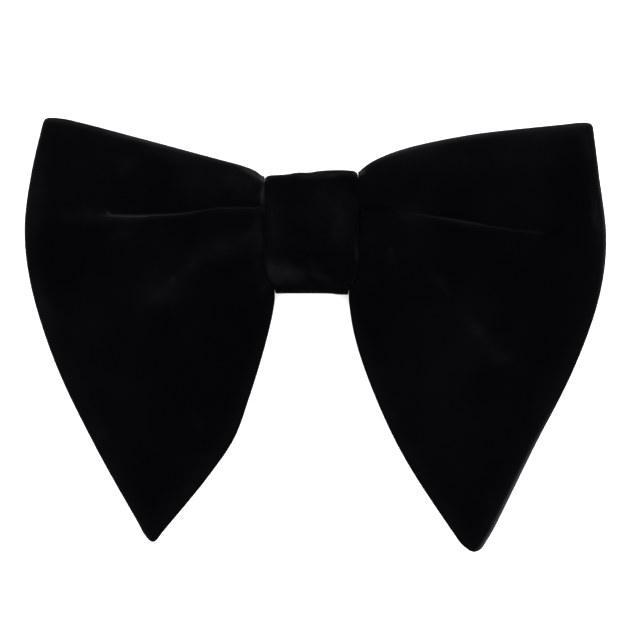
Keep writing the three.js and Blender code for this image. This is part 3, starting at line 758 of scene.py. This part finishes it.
def lapStitches():
    # Small slanting stitches over the band's lapped end, each an arch of cosine shape along its length,
    # whose ends are rounded off by the square root of 1 - (2 step)^6, to a seventh of the radius
    middle = np.arange(stitch["count"]) - (stitch["count"] - 1) / 2
    x = band["x"] + middle[:, None] * stitch["spacing"]
    step = np.linspace(-0.5, 0.5, stitch["steps"])[None]
    path = np.zeros((stitch["count"], stitch["steps"], 3))
    path[..., 0] = x + stitch["lean"] * step
    path[..., 1] = band["lapEdgeY"] + stitch["pastEdge"] + stitch["length"] * step
    share = (path[..., 0] - band["x"]) / (band["halfWidthTop"] - band["wall"] / 2)
    rise = band["lapRise"] * change(band["lapSlope"], path[..., 1] - band["lapEdgeY"])
    swell = (band["crownElsewhere"] + stitch["proud"]) * (1 - share**2)
    arch = stitch["arch"] * np.cos(np.pi * step)
    path[..., 2] = band["z"] - band["halfDepth"] - swell - rise - arch + stitch["sunk"]
    radius = stitch["radius"] * np.sqrt(np.clip(1 - (2 * step[0]) ** 6, 0.02, 1))
    return tubeAlong(path, radius, stitch["sides"])


points, quads = lapStitches()
addPiece("lap_stitches", points, quads, thread, None)


# The collar clip, one strip of spring steel folded back at both ends

clip = {
    # In mm. The bends and the tongues' tips are measured from the clip's middle, and plateBottom is the
    # height of the plate's underside. The tips' corners and the strip's edges are rounded.
    "x": -1.1, "y": 28.05, "metal": 0.8, "height": 9.0, "bendAt": 22.0, "tongueTip": 8.0,
    "plateBottom": 4.6, "tipCorner": 2.6, "edgeRound": 0.22,
    "tipSteps": 9, "tongueSteps": 16, "bendSteps": 25, "plateSteps": 61, "cornerSteps": 4,
}


def clipStrip():
    # A rounded strip section carried along the clip's middle line: out along the left tongue, round a half
    # circle, through behind the waist, round the other half circle and back along the right tongue. The
    # strip narrows to rounded corners at both tips.
    middle, corner, tipSteps = clip["metal"] / 2, clip["tipCorner"], clip["tipSteps"]
    radius = (clip["plateBottom"] + clip["metal"]) / 2 - middle
    tip = clip["tongueTip"] + corner * (1 - np.cos(np.radians(np.linspace(0, 90, tipSteps))))
    tongue = np.r_[tip, np.linspace(tip[-1], clip["bendAt"], clip["tongueSteps"])[1:]]
    turn = np.radians(np.linspace(0, 180, clip["bendSteps"]))[1:-1]
    x = np.r_[-tongue, -clip["bendAt"] - radius * np.sin(turn)]
    z = np.r_[0 * tongue, radius * (1 - np.cos(turn))] + middle
    plate = np.linspace(-clip["bendAt"], clip["bendAt"], clip["plateSteps"])
    line = np.stack([np.r_[x, plate, -x[::-1]], np.r_[z, 0 * plate + middle + 2 * radius, z[::-1]]], -1)
    ahead = unit(np.gradient(line, axis=0))
    square = np.stack([-ahead[:, 1], ahead[:, 0]], -1)

    fromTip = tip - clip["tongueTip"]
    cut = corner - np.sqrt(np.maximum(corner**2 - (corner - fromTip) ** 2, 0))
    halfHeight = np.full(len(line), clip["height"] / 2)
    halfHeight[:tipSteps] -= cut
    halfHeight[-tipSteps:] -= cut[::-1]

    edge, count = clip["edgeRound"], clip["cornerSteps"]
    turn = np.radians(np.concatenate([start + np.linspace(0, 90, count) for start in (0, 90, 180, 270)]))
    sideUp, sideOut = np.repeat([1, -1, -1, 1], count), np.repeat([1, 1, -1, -1], count)
    up = sideUp * (halfHeight[:, None] - edge) + edge * np.cos(turn)
    out = sideOut * (middle - edge) + edge * np.sin(turn)
    points = np.stack([clip["x"] + line[:, :1] + square[:, :1] * out, clip["y"] + up,
                       line[:, 1:] + square[:, 1:] * out], -1)
    index = np.arange(points.shape[0] * points.shape[1]).reshape(points.shape[:2])
    quads = gridQuads(np.hstack([index, index[:, :1]]))
    return points, np.vstack([quads, endQuads(index[0][::-1]), endQuads(index[-1])])


points, quads = clipStrip()
addPiece("clip_strip", points, quads, steel, "collar_clip")
print("pieces made")


# Floor, light and camera

stage = {
    "floorSize": 4000, "floorDrop": 0.05, "floorRoughness": 0.9,
    "floorColor": (0.86, 0.86, 0.86), "grain": 300.0, "grainShade": 0.98, "grainSpan": (0.3, 0.7),
    "worldColor": (1.0, 1.0, 1.0), "worldStrength": 0.9,
    # Softboxes: place, size, watts, all aimed at the knot
    "softboxes": [((0, -100, 2400), (1600, 1600), 110), ((260, 900, 1300), (1100, 600), 18),
                  ((-950, 250, 900), (600, 800), 3), ((900, -100, 900), (700, 700), 4)],
    "aim": (0, 28, 10),
}
camera = {
    "centre": (0.563, 4.875),  # what the middle of the frame shows
    "width": 174.39,  # what the frame shows from side to side, at the height of the hems
    "hemHeight": 2.5, "distance": 1500,
}

bpy.ops.mesh.primitive_plane_add(size=stage["floorSize"] * mm, location=(0, 0, -stage["floorDrop"] * mm))
floor = bpy.context.object
floor.name = "floor"
paper, paperTree, paperShader = newMaterial("pale paper")
place = addNode(paperTree, "ShaderNodeTexCoord").outputs["Object"]
grain = addNode(paperTree, "ShaderNodeTexNoise", Vector=place, Scale=stage["grain"],
                Detail=3.0).outputs["Fac"]
pale = stage["floorColor"]
shade = ramp(paperTree, grain, *stage["grainSpan"], [stage["grainShade"] * c for c in pale], pale)
setSocket(paperTree, paperShader.inputs["Base Color"], shade)
paperShader.inputs["Roughness"].default_value = stage["floorRoughness"]
floor.data.materials.append(paper)

scene = bpy.context.scene
world = bpy.data.worlds.new("studio")
world.use_nodes = True
background = world.node_tree.nodes["Background"]
background.inputs["Color"].default_value = (*stage["worldColor"], 1)
background.inputs["Strength"].default_value = stage["worldStrength"]
scene.world = world
for place, size, watts in stage["softboxes"]:
    light = bpy.data.lights.new("softbox", "AREA")
    light.shape = "RECTANGLE"
    light.size, light.size_y = size[0] * mm, size[1] * mm
    light.energy = watts
    box = bpy.data.objects.new("softbox", light)
    box.location = Vector(place) * mm
    box.rotation_euler = (Vector(stage["aim"]) * mm - box.location).to_track_quat("-Z", "Y").to_euler()
    scene.collection.objects.link(box)

cameraData = bpy.data.cameras.new("camera")
cameraData.lens = cameraData.sensor_width * (camera["distance"] - camera["hemHeight"]) / camera["width"]
cameraData.clip_start, cameraData.clip_end = 0.01, 20
cameraObject = bpy.data.objects.new("camera", cameraData)
cameraObject.location = Vector((*camera["centre"], camera["distance"])) * mm
scene.collection.objects.link(cameraObject)
scene.camera = cameraObject
scene.view_settings.view_transform = "Standard"
print("stage set")
